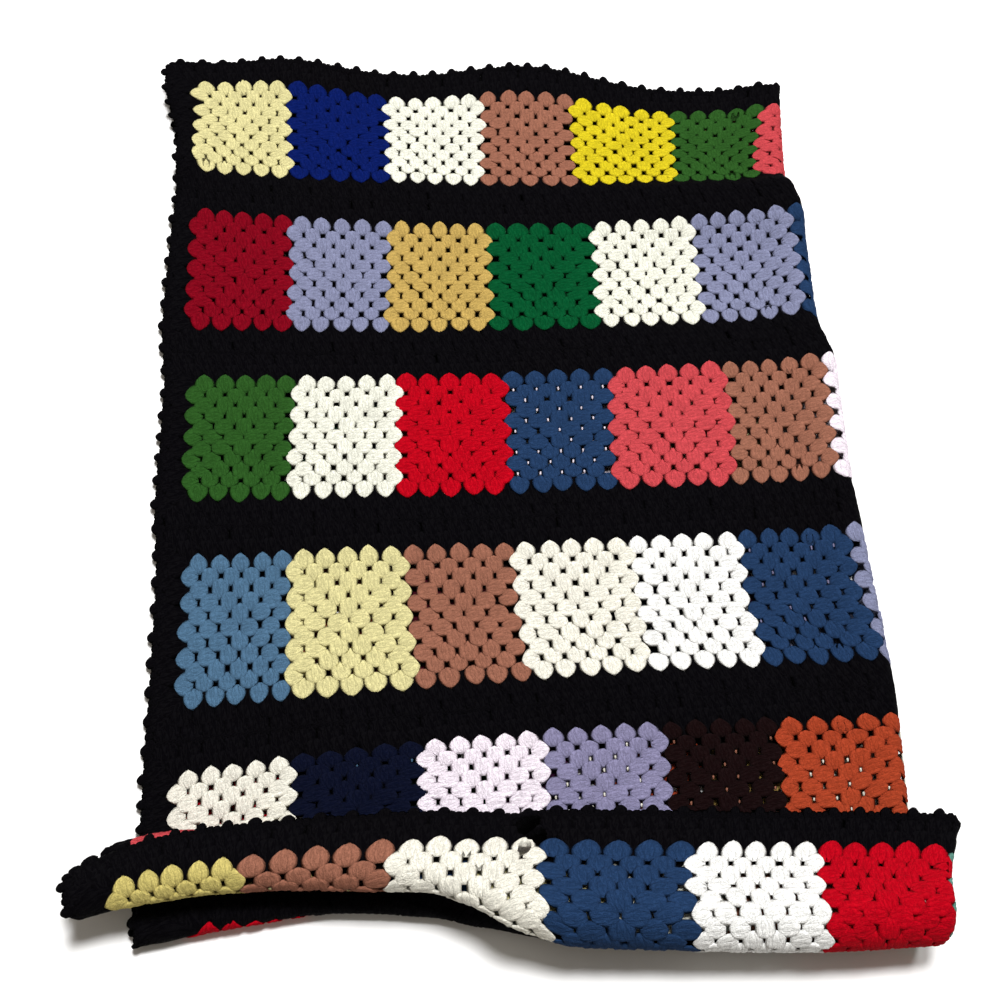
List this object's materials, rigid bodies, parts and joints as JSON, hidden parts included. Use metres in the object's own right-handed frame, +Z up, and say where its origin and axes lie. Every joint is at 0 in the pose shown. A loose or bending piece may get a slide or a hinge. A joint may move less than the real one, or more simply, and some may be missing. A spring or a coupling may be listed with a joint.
{
  "type": "granny square blanket",
  "caption": "Crocheted blanket of coloured granny squares in black bands with a picot edging, folded in half along its length and turned over once at the near end.",
  "frame": {"origin": "on the floor, at the middle of the folded blanket's bounding box", "axes": "+X to the viewer's right, towards the long fold; +Y away from the turned-over near end; +Z up"},
  "size_m": [0.9158, 1.1054, 0.0935],
  "materials": {
    "yarn": "matte crochet",
    "edging": "matte crochet"
  },
  "bodies": {
    "root": {"strip_1": "yarn", "strip_2": "yarn", "strip_3": "yarn", "strip_4": "yarn", "strip_5": "yarn", "strip_6": "yarn", "picot_edging": "edging"}
  },
  "joints": []
}
